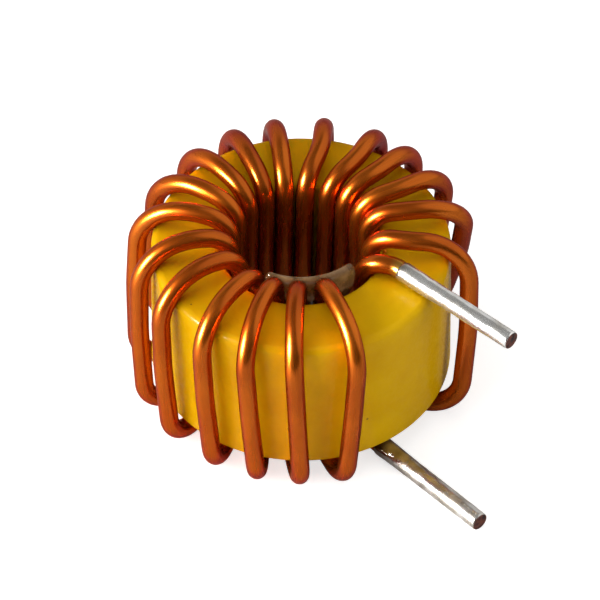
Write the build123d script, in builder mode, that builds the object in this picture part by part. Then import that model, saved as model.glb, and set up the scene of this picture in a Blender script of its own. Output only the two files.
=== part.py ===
import os
from math import cos, radians, sin

from build123d import *

# Toroidal inductor, lying flat on the undersides of its turns. All sizes in millimetres.
# The origin is on the ring's axis at the surface that the part rests on, +Z is up along
# that axis, and both leads leave the ring towards +X. Angles are in degrees about the axis,
# counter-clockwise from +X as seen from above.

# Ring core: pressed powder with rounded edges under a coat of epoxy
core_outer_diameter = 26.9
core_inner_diameter = 14.5
core_height = 14.6
core_edge_radius = 0.7

# Copper wire, its coat of enamel and the solder on its stripped ends
copper_diameter = 1.6
enamel_thickness = 0.05
copper_thinning = 0.05  # how much radius the stripped copper loses to the solder at its tip
solder_thickness = 0.07
solder_root_thickness = 0.25  # where the solder is thickest, next to the enamel

# Room between the core and the wire's surface. Heavy wire stands off every face and comes
# nearest at the core's edges.
outer_gap = 0.7
inner_gap = 0.12
top_gap = 0.85
bottom_gap = 0.5
leg_bow = 0.25  # how much further out a leg stands at mid height
crest_rise = 0.6  # how much higher a crossing is at its crest than at its ends
crest_radius = 9.8  # how far the crest is from the axis

# Bends of the wire, as radii at its centre line
outer_top_bend = 4.7
inner_top_bend = 2.7
crest_bend = 6
leg_bend = 40
outer_foot_bend = 2.7
first_foot_bend = 3.4  # at the first leg outside the ring
inner_foot_bend = 2.2

# Where the wire passes through the hole: each pass's angle at its top and at its foot
passes = [
    (13, 18),
    (36, 42),
    (61, 65),
    (77, 82.5),
    (94, 99.5),
    (110.5, 116),
    (130, 133),
    (147, 149.5),
    (164, 167),
    (181, 184.5),
    (198, 204),
    (215, 224),
    (232, 245),
    (253, 264),
    (276, 282),
    (293.5, 299),
    (311, 316),
    (330, 334),
]

# The legs outside the ring: each leg's angle at its foot and at its top, and that of the
# crest after it. Leg by leg, the wire comes from the foot of one pass and goes on over the
# crest to the top of the next.
legs = [
    (22.5, 36.5, 32),
    (78, 55, 54),
    (86, 74, 70.5),
    (97.5, 91, 88),
    (110, 106, 102.5),
    (127, 126, 123),
    (146, 144, 144.5),
    (162, 160, 162),
    (179, 177.5, 179),
    (197.5, 195.5, 196.5),
    (219, 213, 214),
    (243, 235, 233.5),
    (261.5, 254.5, 253.5),
    (281, 275.5, 276),
    (297.5, 292.5, 293),
    (312.8, 310, 310.5),
    (328, 333, 331.5),
]
legs_shift = (0.15, 0.14)  # how far the legs as a whole are off the ring's axis

# Leads: where each one's straight run starts, how far it reaches, and how it splays from +X
top_lead_start = (9.0, 2.85)
top_lead_reach = 22.65
top_lead_splay = 1.9
top_lead_gap = 0.35  # between the wire and the core's upper face
top_tinning_start = 9.7
bottom_lead_start = (8.4, -2.1)
bottom_lead_reach = 25.0
bottom_lead_splay = -3.5
bottom_tinning_start = 12.0
lead_bend = 2.4
solder_root_reach = 13.8  # how far out along X the thick stretch of solder goes
solder_taper = 0.6
first_pass_rise = 0.2  # how much higher the wire is over the hole's edge than along the top lead
first_pass_bend = 2.3

# Adhesive that bridges the last passes and the first one, on the side towards the axis
bead_start_angle = 288
bead_end_angle = 356
bead_thickness = 1.5
bead_height = 4.8
bead_lean = 12
bead_radius = 5.95
bead_sag = 0.2  # how far its middle is below the core's upper face

copper_radius = copper_diameter / 2
copper_tip_radius = copper_radius - copper_thinning
wire_radius = copper_radius + enamel_thickness
solder_radius = copper_radius + solder_thickness
solder_root_radius = copper_radius + solder_root_thickness
foot_level = wire_radius
core_bottom = 2 * wire_radius + bottom_gap
core_top = core_bottom + core_height
crossing_level = core_top + top_gap + wire_radius
leg_radius = core_outer_diameter / 2 + outer_gap + wire_radius
pass_radius = core_inner_diameter / 2 - inner_gap - wire_radius


def spot(radius, angle, height):
    return Vector(radius * cos(radians(angle)), radius * sin(radians(angle)), height)


def along_lead(start, splay, level, x):
    """The point of a lead's centre line at a given X."""
    return Vector(x, start[1] + (x - start[0]) * sin(radians(splay)) / cos(radians(splay)), level)


top_lead = [
    along_lead(top_lead_start, top_lead_splay, core_top + top_lead_gap + wire_radius, x)
    for x in (top_lead_start[0], top_tinning_start, top_lead_reach)
]
bottom_lead = [
    along_lead(bottom_lead_start, bottom_lead_splay, solder_root_radius, x)
    for x in (bottom_lead_start[0], bottom_tinning_start, bottom_lead_reach)
]


def turned_on_lead(lead, outline):
    """The solid that an outline of (distance along the lead, radius) points sweeps about the lead."""
    section_plane = Plane(origin=lead[1], x_dir=lead[2] - lead[1], z_dir=(0, 0, 1))
    with BuildPart() as turned:
        with BuildSketch(section_plane):
            with BuildLine():
                Polyline(*outline, close=True)
            make_face()
        revolve(axis=Axis(lead[1], lead[2] - lead[1]))
    return turned.part


def leg_spot(radius, angle, height):
    return spot(radius, angle, height) + Vector(*legs_shift)


def wire_route():
    """Corners of the wire's centre line between the tinned ends, each with its bend."""
    corners = [
        (top_lead[0], lead_bend),
        (spot(pass_radius, passes[0][0], top_lead[0].Z + first_pass_rise), first_pass_bend),
    ]
    foot_bends = [first_foot_bend] + [outer_foot_bend] * (len(legs) - 1)
    for i, (foot, top, crest) in enumerate(legs):
        pass_foot = passes[i][1]
        next_pass_top = passes[i + 1][0]
        corners += [
            (spot(pass_radius, pass_foot, foot_level), inner_foot_bend),
            (leg_spot(leg_radius, foot, foot_level), foot_bends[i]),
            (leg_spot(leg_radius + leg_bow, (foot + top) / 2, (foot_level + crossing_level) / 2), leg_bend),
            (leg_spot(leg_radius, top, crossing_level), outer_top_bend),
            (spot(crest_radius, crest, crossing_level + crest_rise), crest_bend),
            (spot(pass_radius, next_pass_top, crossing_level), inner_top_bend),
        ]
    corners += [(spot(pass_radius, passes[-1][1], foot_level), inner_foot_bend), (bottom_lead[0], lead_bend)]
    return corners


# Core
with BuildPart() as core:
    with BuildSketch(Plane.XZ) as core_section:
        with Locations(((core_outer_diameter + core_inner_diameter) / 4, core_bottom + core_height / 2)):
            Rectangle((core_outer_diameter - core_inner_diameter) / 2, core_height)
        fillet(core_section.vertices(), radius=core_edge_radius)
    revolve(axis=Axis.Z)

# Winding: one wire from lead to lead, stripped to the copper under the solder
with BuildPart() as winding:
    with BuildLine() as wire_line:
        corners = wire_route()
        points = [top_lead[1]] + [point for point, bend in corners] + [bottom_lead[1]]
        FilletPolyline(*points, radius=[bend for point, bend in corners])
    with BuildSketch(Plane(origin=top_lead[1], z_dir=top_lead[0] - top_lead[1])):
        Circle(wire_radius)
    sweep()
    for lead in (top_lead, bottom_lead):
        length = (lead[2] - lead[1]).length
        add(turned_on_lead(lead, [(0, 0), (0, copper_radius), (length, copper_tip_radius), (length, 0)]))


def tinning(lead):
    """The sleeve of solder round a lead's stripped copper, thicker next to the enamel."""
    length = (lead[2] - lead[1]).length
    root_length = solder_root_reach - lead[1].X
    outline = [
        (0, copper_radius),
        (0, solder_root_radius),
        (root_length, solder_root_radius),
        (root_length + solder_taper, solder_radius),
        (length, solder_radius),
        (length, copper_tip_radius),
    ]
    return turned_on_lead(lead, outline)


top_lead_tinning = tinning(top_lead)
bottom_lead_tinning = tinning(bottom_lead)


def bead_plane(angle):
    """The plane of the bead's section at an angle, its Y along the section's longer axis."""
    lean = radians(bead_lean)
    middle = spot(bead_radius, angle, core_top - bead_sag)
    return Plane(origin=middle, x_dir=spot(cos(lean), angle, -sin(lean)), z_dir=spot(-1, angle + 90, 0))


# Adhesive bead with round ends, moulded round the wires that it holds
with BuildPart() as glue_bead:
    with BuildSketch(bead_plane(bead_start_angle)):
        Ellipse(bead_thickness / 2, bead_height / 2)
    revolve(axis=Axis.Z, revolution_arc=bead_end_angle - bead_start_angle)
    for angle in (bead_start_angle, bead_end_angle):
        end_plane = bead_plane(angle)
        with BuildSketch(end_plane):
            Ellipse(bead_thickness / 2, bead_height / 2)
            Rectangle(bead_thickness, bead_height, align=(Align.MIN, Align.CENTER), mode=Mode.INTERSECT)
        revolve(axis=Axis(end_plane.origin, end_plane.y_dir))
    add(winding.part, mode=Mode.SUBTRACT)

pieces = {
    "core": core.part,
    "winding": winding.part,
    "top_lead_tinning": top_lead_tinning,
    "bottom_lead_tinning": bottom_lead_tinning,
    "glue_bead": glue_bead.part,
}
os.makedirs("parts", exist_ok=True)
for name, piece in pieces.items():
    piece.label = name
    export_step(piece, f"parts/{name}.step")
    print(name, "volume", round(piece.volume, 2))

wire_length = sum(edge.length for edge in wire_line.edges())
print("wire length", round(wire_length, 1))
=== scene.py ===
from math import cos, pi, radians, sin, tan

import bmesh
import bpy
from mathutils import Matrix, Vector, noise


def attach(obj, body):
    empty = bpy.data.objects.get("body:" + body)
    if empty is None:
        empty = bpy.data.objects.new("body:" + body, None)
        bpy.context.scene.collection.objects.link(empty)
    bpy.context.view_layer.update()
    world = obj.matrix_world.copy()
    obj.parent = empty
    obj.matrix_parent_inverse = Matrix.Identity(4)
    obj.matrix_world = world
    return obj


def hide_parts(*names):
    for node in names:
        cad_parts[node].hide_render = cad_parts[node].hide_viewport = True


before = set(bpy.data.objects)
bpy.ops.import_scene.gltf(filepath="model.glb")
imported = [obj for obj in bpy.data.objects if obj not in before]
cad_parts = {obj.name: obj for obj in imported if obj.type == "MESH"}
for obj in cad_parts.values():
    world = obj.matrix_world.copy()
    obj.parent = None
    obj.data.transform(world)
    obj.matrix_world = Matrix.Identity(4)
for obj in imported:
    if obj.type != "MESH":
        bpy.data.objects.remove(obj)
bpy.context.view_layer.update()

# Toroidal inductor, lying flat. Sizes are in millimetres here and become metres in the meshes.
# A pattern's scale is per metre, and a bump's depth is in metres. Angles are in degrees about
# the ring's axis, counter-clockwise from +X as seen from above.
mm = 0.001
scene = bpy.context.scene
scene.view_settings.view_transform = "Standard"


# Helpers for places and meshes

def spot(radius, angle, height):
    return Vector((radius * cos(radians(angle)), radius * sin(radians(angle)), height))


def unevenness(p):
    return 0.5 + 0.5 * noise.noise(p)  # from 0 to 1


def addObject(name, data):
    obj = bpy.data.objects.new(name, data)
    scene.collection.objects.link(obj)
    return obj


def turnFrom(obj, direction):
    # A camera or lamp looks along its own -Z, so its +Z points to where it stands
    obj.rotation_euler = direction.to_track_quat("Z", "Y").to_euler()


def smoothMesh(name, points, faces):
    # Closed mesh from points in millimetres, shaded smooth, with its faces pointing out
    mesh = bpy.data.meshes.new(name)
    mesh.from_pydata([Vector(p) * mm for p in points], [], faces)
    shell = bmesh.new()
    shell.from_mesh(mesh)
    bmesh.ops.recalc_face_normals(shell, faces=shell.faces)
    shell.to_mesh(mesh)
    shell.free()
    mesh.shade_smooth()
    return mesh


def ringFaces(rings, steps):
    # Quads between closed loops of points, and from the last loop back to the first
    faces = []
    for i in range(rings):
        for j in range(steps):
            a, b = i * steps, ((i + 1) % rings) * steps
            k = (j + 1) % steps
            faces.append((a + j, a + k, b + k, b + j))
    return faces


def storeFloats(mesh, name, values):
    mesh.attributes.new(name, "FLOAT", "POINT").data.foreach_set("value", values)


# Helpers for node trees, in which a value is a number or another node's socket

def setOrLink(tree, socket, value):
    if isinstance(value, bpy.types.NodeSocket):
        tree.links.new(value, socket)
    else:
        socket.default_value = value


def mathNode(tree, operation, *values):
    node = tree.nodes.new("ShaderNodeMath")
    node.operation = operation
    for socket, value in zip(node.inputs, values):
        setOrLink(tree, socket, value)
    return node.outputs[0]


def remap(tree, value, fromRange, toRange):
    node = tree.nodes.new("ShaderNodeMapRange")
    tree.links.new(value, node.inputs["Value"])
    node.inputs["From Min"].default_value, node.inputs["From Max"].default_value = fromRange
    node.inputs["To Min"].default_value, node.inputs["To Max"].default_value = toRange
    return node.outputs["Result"]


def mixNumbers(tree, factor, first, second):
    mix = tree.nodes.new("ShaderNodeMix")
    mix.data_type = "FLOAT"
    tree.links.new(factor, mix.inputs[0])
    setOrLink(tree, mix.inputs[2], first)
    setOrLink(tree, mix.inputs[3], second)
    return mix.outputs[0]


def mixColors(tree, factor, first, second):
    mix = tree.nodes.new("ShaderNodeMix")
    mix.data_type = "RGBA"
    tree.links.new(factor, mix.inputs[0])
    for socket, end in ((mix.inputs[6], first), (mix.inputs[7], second)):
        setOrLink(tree, socket, end if isinstance(end, bpy.types.NodeSocket) else (*end, 1))
    return mix.outputs[2]


def newMaterial(name, sockets):
    # Material with its constants on the shader's own sockets
    mat = bpy.data.materials.new(name)
    mat.use_nodes = True
    shader = mat.node_tree.nodes["Principled BSDF"]
    for key, value in sockets.items():
        shader.inputs[key].default_value = value
    return mat, mat.node_tree, shader


# Camera at the photograph's angle, far away behind a long lens
cameraView = {
    "aim": (-0.072, -0.068, 9.38),
    "toCamera": (0.4744, -0.4999, 0.7246),
    "distance": 1560,
    "lens": 1041.8,
    "sensor": 36,
    "clip": (10, 20000),
}
camera = addObject("camera", bpy.data.cameras.new("camera"))
toCamera = Vector(cameraView["toCamera"]).normalized()
camera.location = (Vector(cameraView["aim"]) + toCamera * cameraView["distance"]) * mm
turnFrom(camera, toCamera)
camera.data.lens = cameraView["lens"]
camera.data.sensor_width = cameraView["sensor"]
camera.data.clip_start, camera.data.clip_end = (limit * mm for limit in cameraView["clip"])
scene.camera = camera
print("camera set")


# A broad window low at the left, a broad soft lamp above and a weak one at the right only light.
# What a gloss shows of the window is a smaller and brighter lamp of its own.
lampAim = Vector((0, 0, 9))
lamps = {
    "window": {"place": (-170, -330, 170), "size": (620, 330), "watts": 2.5, "mirrored": False},
    "windowGlint": {"place": (-144, -345, 138), "size": (140, 170), "watts": 11.0, "mirrored": True},
    "overhead": {"place": (-40, -20, 400), "size": (420, 420), "watts": 0.78, "mirrored": False},
    "right": {"place": (380, 60, 160), "size": (200, 160), "watts": 0.55, "mirrored": False},
}
for name, lamp in lamps.items():
    light = bpy.data.lights.new(name, "AREA")
    light.shape = "RECTANGLE"
    light.size, light.size_y = lamp["size"][0] * mm, lamp["size"][1] * mm
    light.energy = lamp["watts"]
    lampObject = addObject(name, light)
    lampObject.location = Vector(lamp["place"]) * mm
    turnFrom(lampObject, Vector(lamp["place"]) - lampAim)
    lampObject.visible_diffuse = not lamp["mirrored"]
    lampObject.visible_glossy = lamp["mirrored"]


# White for the camera. As light it is a soft grey; in reflections it is a dim room with a pale
# backdrop low down on one side, a dark corner opposite and a broad white panel at the right.
# A part's edge runs between two values of how far a direction faces its side, which are negative
# on the far side, and its top between two heights.
surround = {
    "fill": 0.1,
    "seen": 1.0,
    "room": 0.24,
    "backdropSide": (-0.69, 0.72, 0),
    "backdrop": {"strength": 0.8, "edge": (-0.1, 0.45), "top": (0.56, 0.68)},
    "corner": {"strength": 0.03, "edge": (-0.35, -0.65), "top": (0.35, 0.6)},
    "panelSide": (0.447, 0.703, 0.556),
    "panel": {"strength": 1.15, "edge": (0.68, 0.8)},
}


def buildSurround(look):
    world = bpy.data.worlds.new("surround")
    scene.world = world
    world.use_nodes = True
    tree = world.node_tree
    tree.nodes.clear()
    path = tree.nodes.new("ShaderNodeLightPath")
    direction = tree.nodes.new("ShaderNodeTexCoord").outputs["Generated"]
    split = tree.nodes.new("ShaderNodeSeparateXYZ")
    tree.links.new(direction, split.inputs[0])

    def facing(side):
        towards = tree.nodes.new("ShaderNodeVectorMath")
        towards.operation = "DOT_PRODUCT"
        tree.links.new(direction, towards.inputs[0])
        towards.inputs[1].default_value = side
        return towards.outputs["Value"]

    onSide = facing(look["backdropSide"])
    mirrored = look["room"]
    for part in (look["backdrop"], look["corner"]):
        within = remap(tree, onSide, part["edge"], (0, 1))
        below = remap(tree, split.outputs["Z"], part["top"], (1, 0))
        mask = mathNode(tree, "MULTIPLY", within, below)
        mirrored = mixNumbers(tree, mask, mirrored, part["strength"])
    onPanel = remap(tree, facing(look["panelSide"]), look["panel"]["edge"], (0, 1))
    mirrored = mixNumbers(tree, onPanel, mirrored, look["panel"]["strength"])
    unseen = mixNumbers(tree, path.outputs["Is Glossy Ray"], look["fill"], mirrored)
    seen = mathNode(tree, "MAXIMUM", path.outputs["Is Camera Ray"], path.outputs["Is Transmission Ray"])
    background = tree.nodes.new("ShaderNodeBackground")
    tree.links.new(mixNumbers(tree, seen, unseen, look["seen"]), background.inputs["Strength"])
    out = tree.nodes.new("ShaderNodeOutputWorld")
    tree.links.new(background.outputs[0], out.inputs["Surface"])


buildSurround(surround)


# Floor: a wide sheet that keeps the object's soft shadow and glows white to the camera only
floorSheet = {
    "half": 1500,
    "level": -0.02,
    "seenGlow": 0.7,
    "shader": {"Base Color": (0.7, 0.7, 0.7, 1), "Roughness": 0.9, "Emission Color": (1, 1, 1, 1)},
}


def buildFloor(sheet):
    half = sheet["half"]
    corners = ((-half, -half), (half, -half), (half, half), (-half, half))
    mesh = bpy.data.meshes.new("floor")
    mesh.from_pydata([Vector((x, y, sheet["level"])) * mm for x, y in corners], [], [(0, 1, 2, 3)])
    mat, tree, shader = newMaterial("floorPaper", sheet["shader"])
    seen = tree.nodes.new("ShaderNodeLightPath").outputs["Is Camera Ray"]
    glow = mathNode(tree, "MULTIPLY", seen, sheet["seenGlow"])
    tree.links.new(glow, shader.inputs["Emission Strength"])
    mesh.materials.append(mat)
    return addObject("floor", mesh)


floor = buildFloor(floorSheet)
print("stage lit")


# Effects that several materials share

def effectGroup(name, sockets):
    # Empty shader node group: sockets are (name, "INPUT" or "OUTPUT", type, default)
    group = bpy.data.node_groups.new(name, "ShaderNodeTree")
    for socketName, direction, socketType, default in sockets:
        socket = group.interface.new_socket(socketName, in_out=direction, socket_type=socketType)
        if default is not None:
            socket.default_value = default
    return group, group.nodes.new("NodeGroupInput"), group.nodes.new("NodeGroupOutput")


def buildMottle():
    # Uneven tone over a surface: broad patches with finer ones inside, and a fine grain beside it
    group, inside, outside = effectGroup("mottle", [
        ("Place", "INPUT", "NodeSocketVector", None),
        ("Patch Scale", "INPUT", "NodeSocketFloat", 200.0),
        ("Grain Scale", "INPUT", "NodeSocketFloat", 2500.0),
        ("Tone", "OUTPUT", "NodeSocketFloat", None),
        ("Grain", "OUTPUT", "NodeSocketFloat", None),
    ])
    for scaleName, outName, detail in (("Patch Scale", "Tone", 3), ("Grain Scale", "Grain", 2)):
        texture = group.nodes.new("ShaderNodeTexNoise")
        texture.inputs["Detail"].default_value = detail
        group.links.new(inside.outputs["Place"], texture.inputs["Vector"])
        group.links.new(inside.outputs[scaleName], texture.inputs["Scale"])
        group.links.new(texture.outputs["Fac"], outside.inputs[outName])
    return group


def buildSpecks():
    # Mask of small sparse specks: 1 on a speck, 0 elsewhere
    group, inside, outside = effectGroup("specks", [
        ("Place", "INPUT", "NodeSocketVector", None),
        ("Scale", "INPUT", "NodeSocketFloat", 400.0),
        ("Size", "INPUT", "NodeSocketFloat", 0.12),
        ("Share", "INPUT", "NodeSocketFloat", 0.3),
        ("Mask", "OUTPUT", "NodeSocketFloat", None),
    ])
    cells = group.nodes.new("ShaderNodeTexVoronoi")
    group.links.new(inside.outputs["Place"], cells.inputs["Vector"])
    group.links.new(inside.outputs["Scale"], cells.inputs["Scale"])
    split = group.nodes.new("ShaderNodeSeparateColor")
    group.links.new(cells.outputs["Color"], split.inputs[0])
    near = mathNode(group, "LESS_THAN", cells.outputs["Distance"], inside.outputs["Size"])
    chosen = mathNode(group, "LESS_THAN", split.outputs[0], inside.outputs["Share"])
    group.links.new(mathNode(group, "MULTIPLY", near, chosen), outside.inputs["Mask"])
    return group


mottle = buildMottle()
specks = buildSpecks()


def placeGroup(tree, group, place, values):
    node = tree.nodes.new("ShaderNodeGroup")
    node.node_tree = group
    tree.links.new(place, node.inputs["Place"])
    for key, value in values.items():
        node.inputs[key].default_value = value
    return node


def addBump(tree, shader, height, bump):
    node = tree.nodes.new("ShaderNodeBump")
    node.inputs["Strength"].default_value = bump["strength"]
    node.inputs["Distance"].default_value = bump["depth"]
    tree.links.new(height, node.inputs["Height"])
    tree.links.new(node.outputs["Normal"], shader.inputs["Normal"])


def objectPlace(tree):
    return tree.nodes.new("ShaderNodeTexCoord").outputs["Object"]


def pointAttribute(tree, name):
    node = tree.nodes.new("ShaderNodeAttribute")
    node.attribute_name = name
    return node


# Core: yellow epoxy, a little patchy, with a thin gloss and a few dark specks
coreLook = {
    "light": (0.73, 0.425, 0.003),
    "dark": (0.63, 0.335, 0.002),
    "speck": (0.20, 0.09, 0.01),
    "shader": {"Specular IOR Level": 0.01, "Coat Weight": 0.12, "Coat Roughness": 0.14},
    "mottle": {"Patch Scale": 260.0, "Grain Scale": 2600.0},
    "specks": {"Scale": 480.0, "Size": 0.07, "Share": 0.1},
    "toneRange": (0.3, 0.8),
    "grainRange": (0.3, 0.7),
    "roughness": (0.22, 0.32),
    "bump": {"strength": 0.35, "depth": 0.00012},
}


def buildCoreEpoxy(look):
    mat, tree, shader = newMaterial("coreEpoxy", look["shader"])
    place = objectPlace(tree)
    tone = placeGroup(tree, mottle, place, look["mottle"])
    dust = placeGroup(tree, specks, place, look["specks"])
    toneMix = remap(tree, tone.outputs["Tone"], look["toneRange"], (0, 1))
    color = mixColors(tree, toneMix, look["light"], look["dark"])
    color = mixColors(tree, dust.outputs["Mask"], color, look["speck"])
    tree.links.new(color, shader.inputs["Base Color"])
    roughness = remap(tree, tone.outputs["Grain"], look["grainRange"], look["roughness"])
    tree.links.new(roughness, shader.inputs["Roughness"])
    addBump(tree, shader, tone.outputs["Grain"], look["bump"])
    return mat


coreShape = {
    "outer": 13.45,
    "inner": 7.25,
    "bottom": 2.2,
    "height": 14.6,
    "edge": 0.7,
    "wave": 0.02,
    "waveScale": 0.45,
    "turnSteps": 288,
    "edgeSteps": 8,
    "faceStep": 0.8,
}


def coreSection(shape):
    # Rounded rectangle of the ring's wall as (radius, height) points, counter-clockwise
    edge = shape["edge"]
    near, far = shape["inner"] + edge, shape["outer"] - edge
    low, high = shape["bottom"] + edge, shape["bottom"] + shape["height"] - edge
    points = []
    for radius, height, start in ((far, high, 0), (near, high, 90), (near, low, 180), (far, low, 270)):
        for i in range(shape["edgeSteps"] + 1):
            a = radians(start + 90 * i / shape["edgeSteps"])
            points.append((radius + edge * cos(a), height + edge * sin(a)))
    # The faces between the edges are divided too, so that the coat can wave over them
    divided = []
    for (r0, z0), (r1, z1) in zip(points, points[1:] + points[:1]):
        span = ((r1 - r0) ** 2 + (z1 - z0) ** 2) ** 0.5
        parts = max(1, round(span / shape["faceStep"]))
        divided += [(r0 + (r1 - r0) * k / parts, z0 + (z1 - z0) * k / parts) for k in range(parts)]
    return divided


def buildCore(shape, epoxy):
    # The epoxy runs a little unevenly, inward only, so the coat never leaves its true size
    section = coreSection(shape)
    middleRadius = (shape["outer"] + shape["inner"]) / 2
    middleHeight = shape["bottom"] + shape["height"] / 2
    points = []
    for i in range(shape["turnSteps"]):
        angle = 360 * i / shape["turnSteps"]
        middle = spot(middleRadius, angle, middleHeight)
        for radius, height in section:
            p = spot(radius, angle, height)
            sink = shape["wave"] * unevenness(p * shape["waveScale"])
            points.append(p + (middle - p).normalized() * sink)
    mesh = smoothMesh("coreRing", points, ringFaces(shape["turnSteps"], len(section)))
    mesh.materials.append(epoxy)
    return addObject("coreRing", mesh)


core = buildCore(coreShape, buildCoreEpoxy(coreLook))
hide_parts("core")
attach(core, "root")
print("core made")


# Winding: one wire from lead to lead. The gaps are between its surface and the core's faces.
wire = {
    "radius": 0.85,
    "copperRadius": 0.8,
    "outerGap": 0.7,
    "innerGap": 0.12,
    "topGap": 0.85,
    "legBow": 0.25,
    "legsShift": (0.15, 0.14),
    "crestRise": 0.6,
    "crestRadius": 9.8,
    "firstPassRise": 0.2,
    "outerTopBend": 4.7,
    "innerTopBend": 2.7,
    "crestBend": 6.0,
    "legBend": 40.0,
    "outerFootBend": 2.7,
    "firstFootBend": 3.4,
    "innerFootBend": 2.2,
    "firstPassBend": 2.3,
    "leadBend": 2.4,
    "ringSteps": 28,
    "bendSteps": 14,
}

# Each lead: its straight run's start, height and turn from +X, the X of the enamel's end and of
#  the tip, and how far along it the solder is darkened: by flux stain on the top lead, by painted shade
#  on the bottom lead
topLead = {
    "start": (9.0, 2.85),
    "level": 18.0,
    "splay": 1.9,
    "tinned": 9.7,
    "reach": 22.65,
    "stainShadeLength": 1.2,
}
bottomLead = {
    "start": (8.4, -2.1),
    "level": 1.05,
    "splay": -3.5,
    "tinned": 12.0,
    "reach": 25.0,
    # Painted shade: the solder is darkened along nearly all of this lead, as if the core kept the
    # window's light off it
    "stainShadeLength": 24.0,
}

# Each pass through the hole: its angle at the top and at the foot
passes = [
    (13, 18), (36, 42), (61, 65), (77, 82.5), (94, 99.5), (110.5, 116),
    (130, 133), (147, 149.5), (164, 167), (181, 184.5), (198, 204), (215, 224),
    (232, 245), (253, 264), (276, 282), (293.5, 299), (311, 316), (330, 334),
]
# Each leg outside the ring: its angle at the foot and at the top, and that of the crest after it
legs = [
    (22.5, 36.5, 32), (78, 55, 54), (86, 74, 70.5), (97.5, 91, 88), (110, 106, 102.5), (127, 126, 123),
    (146, 144, 144.5), (162, 160, 162), (179, 177.5, 179), (197.5, 195.5, 196.5), (219, 213, 214),
    (243, 235, 233.5), (261.5, 254.5, 253.5), (281, 275.5, 276), (297.5, 292.5, 293), (312.8, 310, 310.5),
    (328, 333, 331.5),
]


def alongLead(lead, x):
    # The point of a lead's centre line at a given X
    startX, startY = lead["start"]
    return Vector((x, startY + (x - startX) * tan(radians(lead["splay"])), lead["level"]))


def legSpot(radius, angle, height):
    return spot(radius, angle, height) + Vector((*wire["legsShift"], 0))


def wireRoute(w, shape):
    # The enamelled wire's corners from lead to lead, each with the radius of its bend
    footLevel = w["radius"]
    crossingLevel = shape["bottom"] + shape["height"] + w["topGap"] + w["radius"]
    middleLevel = (footLevel + crossingLevel) / 2
    legRadius = shape["outer"] + w["outerGap"] + w["radius"]
    passRadius = shape["inner"] - w["innerGap"] - w["radius"]
    route = [
        (alongLead(topLead, topLead["tinned"]), 0),
        (alongLead(topLead, topLead["start"][0]), w["leadBend"]),
        (spot(passRadius, passes[0][0], topLead["level"] + w["firstPassRise"]), w["firstPassBend"]),
    ]
    for i, (foot, top, crest) in enumerate(legs):
        route += [
            (spot(passRadius, passes[i][1], footLevel), w["innerFootBend"]),
            (legSpot(legRadius, foot, footLevel), w["outerFootBend"] if i else w["firstFootBend"]),
            (legSpot(legRadius + w["legBow"], (foot + top) / 2, middleLevel), w["legBend"]),
            (legSpot(legRadius, top, crossingLevel), w["outerTopBend"]),
            (spot(w["crestRadius"], crest, crossingLevel + w["crestRise"]), w["crestBend"]),
            (spot(passRadius, passes[i + 1][0], crossingLevel), w["innerTopBend"]),
        ]
    route += [
        (spot(passRadius, passes[-1][1], footLevel), w["innerFootBend"]),
        (alongLead(bottomLead, bottomLead["start"][0]), w["leadBend"]),
        (alongLead(bottomLead, bottomLead["tinned"]), 0),
    ]
    return route


def namedValue(tree, name):
    node = tree.nodes.new("GeometryNodeInputNamedAttribute")
    node.data_type = "FLOAT"
    node.inputs["Name"].default_value = name
    return node.outputs["Attribute"]


def storeValue(tree, geometry, name, value, dataType="FLOAT"):
    node = tree.nodes.new("GeometryNodeStoreNamedAttribute")
    node.data_type = dataType
    node.domain = "POINT"
    node.inputs["Name"].default_value = name
    tree.links.new(geometry, node.inputs["Geometry"])
    tree.links.new(value, node.inputs["Value"])
    return node.outputs["Geometry"]


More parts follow.
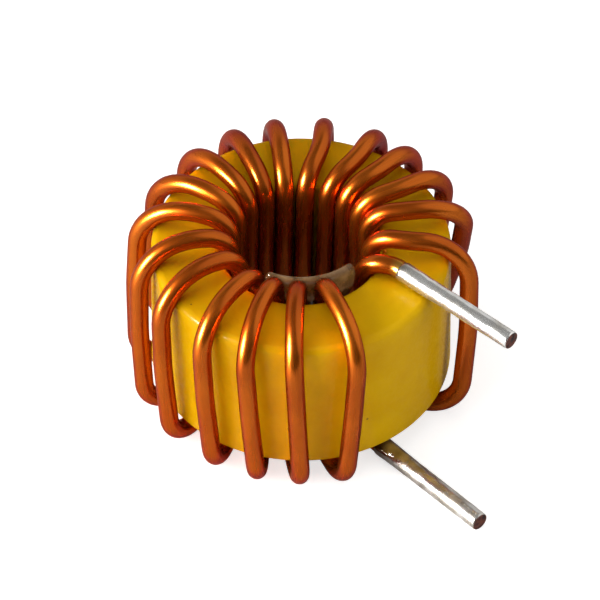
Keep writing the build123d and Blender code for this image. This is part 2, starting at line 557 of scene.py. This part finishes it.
def buildWireTree():
    # Rounds the corners of bare edges, sweeps a circle along them and keeps, for the materials,
    # how far along the wire each point is and which way round it faces. The edges' points hold
    # the radius of their bend, the wire's own radius there and whether it is bare copper.
    tree = bpy.data.node_groups.new("bentWire", "GeometryNodeTree")
    tree.interface.new_socket("Geometry", in_out="INPUT", socket_type="NodeSocketGeometry")
    ids = {}
    for name, socketType in (
        ("Bend Steps", "NodeSocketInt"),
        ("Ring Steps", "NodeSocketInt"),
        ("Wire Radius", "NodeSocketFloat"),
        ("Enamel", "NodeSocketMaterial"),
        ("Bare Copper", "NodeSocketMaterial"),
    ):
        socket = tree.interface.new_socket(name, in_out="INPUT", socket_type=socketType)
        ids[name] = socket.identifier
    tree.interface.new_socket("Geometry", in_out="OUTPUT", socket_type="NodeSocketGeometry")
    link = tree.links.new
    inside, outside = tree.nodes.new("NodeGroupInput"), tree.nodes.new("NodeGroupOutput")

    toCurve = tree.nodes.new("GeometryNodeMeshToCurve")
    link(inside.outputs["Geometry"], toCurve.inputs["Mesh"])
    fillet = tree.nodes.new("GeometryNodeFilletCurve")
    fillet.mode = "POLY"
    link(toCurve.outputs["Curve"], fillet.inputs["Curve"])
    link(inside.outputs["Bend Steps"], fillet.inputs["Count"])
    link(namedValue(tree, "bend"), fillet.inputs["Radius"])
    fillet.inputs["Limit Radius"].default_value = True
    length = tree.nodes.new("GeometryNodeSplineParameter").outputs["Length"]
    path = storeValue(tree, fillet.outputs["Curve"], "along", length)

    circle = tree.nodes.new("GeometryNodeCurvePrimitiveCircle")
    circle.inputs["Radius"].default_value = 1
    link(inside.outputs["Ring Steps"], circle.inputs["Resolution"])
    share = tree.nodes.new("GeometryNodeSplineParameter").outputs["Factor"]
    turn = mathNode(tree, "MULTIPLY", share, 2 * pi)
    ring = storeValue(tree, circle.outputs["Curve"], "aroundCos", mathNode(tree, "COSINE", turn))
    ring = storeValue(tree, ring, "aroundSin", mathNode(tree, "SINE", turn))

    sweep = tree.nodes.new("GeometryNodeCurveToMesh")
    link(path, sweep.inputs["Curve"])
    link(ring, sweep.inputs["Profile Curve"])
    link(namedValue(tree, "thick"), sweep.inputs["Scale"])
    sweep.inputs["Fill Caps"].default_value = True

    wireSpace = tree.nodes.new("ShaderNodeCombineXYZ")
    link(namedValue(tree, "along"), wireSpace.inputs["X"])
    for axis, name in (("Y", "aroundCos"), ("Z", "aroundSin")):
        around = mathNode(tree, "MULTIPLY", namedValue(tree, name), inside.outputs["Wire Radius"])
        link(around, wireSpace.inputs[axis])
    geometry = storeValue(tree, sweep.outputs["Mesh"], "wireSpace", wireSpace.outputs[0], "FLOAT_VECTOR")

    smooth = tree.nodes.new("GeometryNodeSetShadeSmooth")
    link(geometry, smooth.inputs["Geometry"])
    real = tree.nodes.new("GeometryNodeRealizeInstances")
    link(smooth.outputs["Geometry"], real.inputs["Geometry"])
    enamelled = tree.nodes.new("GeometryNodeSetMaterial")
    link(real.outputs["Geometry"], enamelled.inputs["Geometry"])
    link(inside.outputs["Enamel"], enamelled.inputs["Material"])
    bared = tree.nodes.new("GeometryNodeSetMaterial")
    link(enamelled.outputs["Geometry"], bared.inputs["Geometry"])
    link(inside.outputs["Bare Copper"], bared.inputs["Material"])
    link(mathNode(tree, "GREATER_THAN", namedValue(tree, "bare"), 0.5), bared.inputs["Selection"])
    link(bared.outputs["Geometry"], outside.inputs["Geometry"])
    return tree, ids


# Enamel: clear red-brown varnish over copper, streaky along the wire, deeper in patches and
# yellowed by the solder's heat at the end of the top lead
enamelLook = {
    "body": (0.59, 0.134, 0.007),
    "deep": (0.36, 0.056, 0.002),
    "heated": (0.60, 0.33, 0.05),
    "heatReach": 1.2,
    "shader": {
        "Metallic": 0.88,
        "Specular Tint": (0.4, 0.1, 0.03, 1),
        "Coat Weight": 0.17,
        "Coat Roughness": 0.22,
    },
    "stretch": (0.12, 1, 1),
    "streaks": {"Patch Scale": 1400.0, "Grain Scale": 6000.0},
    "streakShare": 0.45,
    "patches": {"Patch Scale": 110.0, "Grain Scale": 900.0},
    "toneRange": (0.5, 0.95),
    "streakRange": (0.3, 0.7),
    "roughness": (0.22, 0.32),
    "bump": {"strength": 0.15, "depth": 0.00005},
}


def buildEnamel(look):
    mat, tree, shader = newMaterial("wireEnamel", look["shader"])
    place = pointAttribute(tree, "wireSpace").outputs["Vector"]
    stretch = tree.nodes.new("ShaderNodeMapping")
    stretch.inputs["Scale"].default_value = look["stretch"]
    tree.links.new(place, stretch.inputs["Vector"])
    streaks = placeGroup(tree, mottle, stretch.outputs["Vector"], look["streaks"]).outputs["Tone"]
    patches = placeGroup(tree, mottle, place, look["patches"]).outputs["Tone"]
    tone = mathNode(tree, "MULTIPLY_ADD", streaks, look["streakShare"], patches)
    color = mixColors(tree, remap(tree, tone, look["toneRange"], (0, 1)), look["body"], look["deep"])
    along = tree.nodes.new("ShaderNodeSeparateXYZ")
    tree.links.new(place, along.inputs[0])
    heat = remap(tree, along.outputs["X"], (0, look["heatReach"] * mm), (1, 0))
    tree.links.new(mixColors(tree, heat, color, look["heated"]), shader.inputs["Base Color"])
    roughness = remap(tree, streaks, look["streakRange"], look["roughness"])
    tree.links.new(roughness, shader.inputs["Roughness"])
    addBump(tree, shader, streaks, look["bump"])
    return mat


# Cut ends of the copper, dark and tarnished
copperLook = {
    "light": (0.20, 0.05, 0.025),
    "dark": (0.02, 0.003, 0.003),
    "shader": {"Metallic": 0.6, "Roughness": 0.5},
    "mottle": {"Patch Scale": 1800.0, "Grain Scale": 6000.0},
    "toneRange": (0.35, 0.65),
    "bump": {"strength": 0.4, "depth": 0.00006},
}


def buildCutCopper(look):
    mat, tree, shader = newMaterial("cutCopper", look["shader"])
    tone = placeGroup(tree, mottle, objectPlace(tree), look["mottle"])
    toneMix = remap(tree, tone.outputs["Tone"], look["toneRange"], (0, 1))
    tree.links.new(mixColors(tree, toneMix, look["dark"], look["light"]), shader.inputs["Base Color"])
    addBump(tree, shader, tone.outputs["Grain"], look["bump"])
    return mat


def buildWinding(enamel, copper):
    route = wireRoute(wire, coreShape)
    points = [p for p, bend in route]
    edges = [(i, i + 1) for i in range(len(points) - 1)]
    bends = [bend * mm for p, bend in route]
    thick = [wire["radius"] * mm] * len(points)
    bare = [0.0] * len(points)
    for lead in (topLead, bottomLead):  # the stripped copper, as runs of their own
        edges.append((len(points), len(points) + 1))
        points += [alongLead(lead, lead["tinned"]), alongLead(lead, lead["reach"])]
        bends += [0.0, 0.0]
        thick += [wire["copperRadius"] * mm] * 2
        bare += [1.0, 1.0]
    mesh = bpy.data.meshes.new("wirePath")
    mesh.from_pydata([p * mm for p in points], edges, [])
    for name, values in (("bend", bends), ("thick", thick), ("bare", bare)):
        storeFloats(mesh, name, values)
    path = addObject("wirePath", mesh)
    tree, ids = buildWireTree()
    modifier = path.modifiers.new("bentWire", "NODES")
    modifier.node_group = tree
    modifier[ids["Bend Steps"]] = wire["bendSteps"]
    modifier[ids["Ring Steps"]] = wire["ringSteps"]
    modifier[ids["Wire Radius"]] = wire["radius"] * mm
    modifier[ids["Enamel"]] = enamel
    modifier[ids["Bare Copper"]] = copper
    evaluated = path.evaluated_get(bpy.context.evaluated_depsgraph_get())
    swept = bpy.data.meshes.new_from_object(evaluated)
    swept.name = "wireWinding"
    bpy.data.objects.remove(path)
    return addObject("wireWinding", swept)


winding = buildWinding(buildEnamel(enamelLook), buildCutCopper(copperLook))
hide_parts("winding")
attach(winding, "root")
print("winding made:", len(winding.data.polygons), "faces")


# Solder on the leads: bright, duller in patches, with small pits. Flux left near the enamel
#  stains it brown, and that fades out along the lead. On the bottom lead the same darkening is painted
#  shade and reaches most of its length.
solderLook = {
    "bright": (0.93, 0.92, 0.89),
    "dull": (0.55, 0.51, 0.44),
    # Brown of flux stain, also used as painted shade on the bottom lead
    "stainAndShade": (0.10, 0.06, 0.018),
    "pit": (0.10, 0.07, 0.05),
    "shader": {"Metallic": 0.88},
    "mottle": {"Patch Scale": 420.0, "Grain Scale": 3000.0},
    "pits": {"Scale": 620.0, "Size": 0.12, "Share": 0.08},
    "dullRange": (0.42, 0.7),
    "roughRange": (0.35, 0.65),
    "roughness": (0.14, 0.3),
    "bump": {"strength": 0.4, "depth": 0.0002},
}


def buildSolder(look):
    mat, tree, shader = newMaterial("solder", look["shader"])
    place = objectPlace(tree)
    tone = placeGroup(tree, mottle, place, look["mottle"]).outputs["Tone"]
    pits = placeGroup(tree, specks, place, look["pits"]).outputs["Mask"]
    color = mixColors(tree, remap(tree, tone, look["dullRange"], (0, 1)), look["bright"], look["dull"])
    # Brown darkening from the sleeve's attribute: flux stain, and painted shade on the bottom lead
    color = mixColors(tree, pointAttribute(tree, "stainAndShade").outputs["Fac"], color, look["stainAndShade"])
    tree.links.new(mixColors(tree, pits, color, look["pit"]), shader.inputs["Base Color"])
    roughness = remap(tree, tone, look["roughRange"], look["roughness"])
    tree.links.new(roughness, shader.inputs["Roughness"])
    addBump(tree, shader, tone, look["bump"])
    return mat


solderSleeve = {
    "bore": wire["copperRadius"],
    "radius": 0.88,
    "root": 0.96,
    "thinBy": 17.0,  # the X at which the thicker root has faded out
    "lip": 0.25,
    "lipShare": 0.35,  # how much of its thickness is left at the very ends
    "lumps": 0.06,
    "lumpShare": 0.6,  # how much of its thickness a lump may take at most
    "lumpScale": 1.3,
    # How the darkening varies: flux stain near the enamel, and painted shade along the bottom lead
    "stainShadeEven": 0.7,
    "stainShadePatchy": 0.6,
    "stainShadeScale": 0.9,
    "step": 0.15,
    "turnSteps": 48,
}


def sleeveProfile(s, length, thinLength):
    # (distance along the lead, radius, 1 where lumps show): first the outside, thick at the root
    # and with a round lip at each end, then the bore
    count = round(length / s["step"])
    profile = []
    for i in range(count + 1):
        x = length * i / count
        fade = min(1, x / thinLength)
        fade = fade * fade * (3 - 2 * fade)
        lip = min(1, min(x, length - x) / s["lip"])
        radius = s["root"] + (s["radius"] - s["root"]) * fade
        fullness = s["lipShare"] + (1 - s["lipShare"]) * (1 - (1 - lip) ** 2)
        profile.append((x, s["bore"] + (radius - s["bore"]) * fullness, 1))
    return profile + [(length, s["bore"], 0), (0, s["bore"], 0)]


def buildSleeve(name, lead, node, solder):
    s = solderSleeve
    start, end = alongLead(lead, lead["tinned"]), alongLead(lead, lead["reach"])
    axis = (end - start).normalized()
    side = axis.cross(Vector((0, 0, 1))).normalized()
    up = side.cross(axis).normalized()
    profile = sleeveProfile(s, (end - start).length, s["thinBy"] - lead["tinned"])
    points = []
    for x, radius, loose in profile:
        # Lumps only go inward, so the solder never stands out past its true size
        lump = loose * min(s["lumps"], s["lumpShare"] * (radius - s["bore"]))
        for j in range(s["turnSteps"]):
            a = 2 * pi * j / s["turnSteps"]
            outward = side * cos(a) + up * sin(a)
            p = start + axis * x + outward * radius
            points.append(p - outward * (lump * unevenness(p * s["lumpScale"])))
    mesh = smoothMesh(name, points, ringFaces(len(profile), s["turnSteps"]))
    # Darkening that fades along the lead: a flux stain near the enamel, and painted shade along most of
    # the bottom lead
    stainAndShade = []
    for p in points:
        fade = max(0, 1 - (p - start).dot(axis) / lead["stainShadeLength"])
        stainAndShade.append(fade * (s["stainShadeEven"] + s["stainShadePatchy"] * noise.noise(p * s["stainShadeScale"])))
    storeFloats(mesh, "stainAndShade", stainAndShade)
    mesh.materials.append(solder)
    sleeve = addObject(name, mesh)
    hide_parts(node)
    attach(sleeve, "root")


solderMat = buildSolder(solderLook)
buildSleeve("topTinning", topLead, "top_lead_tinning", solderMat)
buildSleeve("bottomTinning", bottomLead, "bottom_lead_tinning", solderMat)
print("solder made")


# Adhesive: the CAD's own bead in a glossy, slightly see-through brown
glueLook = {
    "body": (0.35, 0.20, 0.085),
    "dark": (0.14, 0.07, 0.025),
    "shader": {"Roughness": 0.12, "Alpha": 0.78},
    "mottle": {"Patch Scale": 700.0, "Grain Scale": 3000.0},
    "toneRange": (0.35, 0.65),
    "bump": {"strength": 0.3, "depth": 0.0003},
}


def buildAdhesive(look):
    mat, tree, shader = newMaterial("adhesive", look["shader"])
    tone = placeGroup(tree, mottle, objectPlace(tree), look["mottle"]).outputs["Tone"]
    toneMix = remap(tree, tone, look["toneRange"], (0, 1))
    tree.links.new(mixColors(tree, toneMix, look["body"], look["dark"]), shader.inputs["Base Color"])
    addBump(tree, shader, tone, look["bump"])
    return mat


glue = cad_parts["glue_bead"]
glue.data.materials.clear()
glue.data.materials.append(buildAdhesive(glueLook))
print("adhesive made")
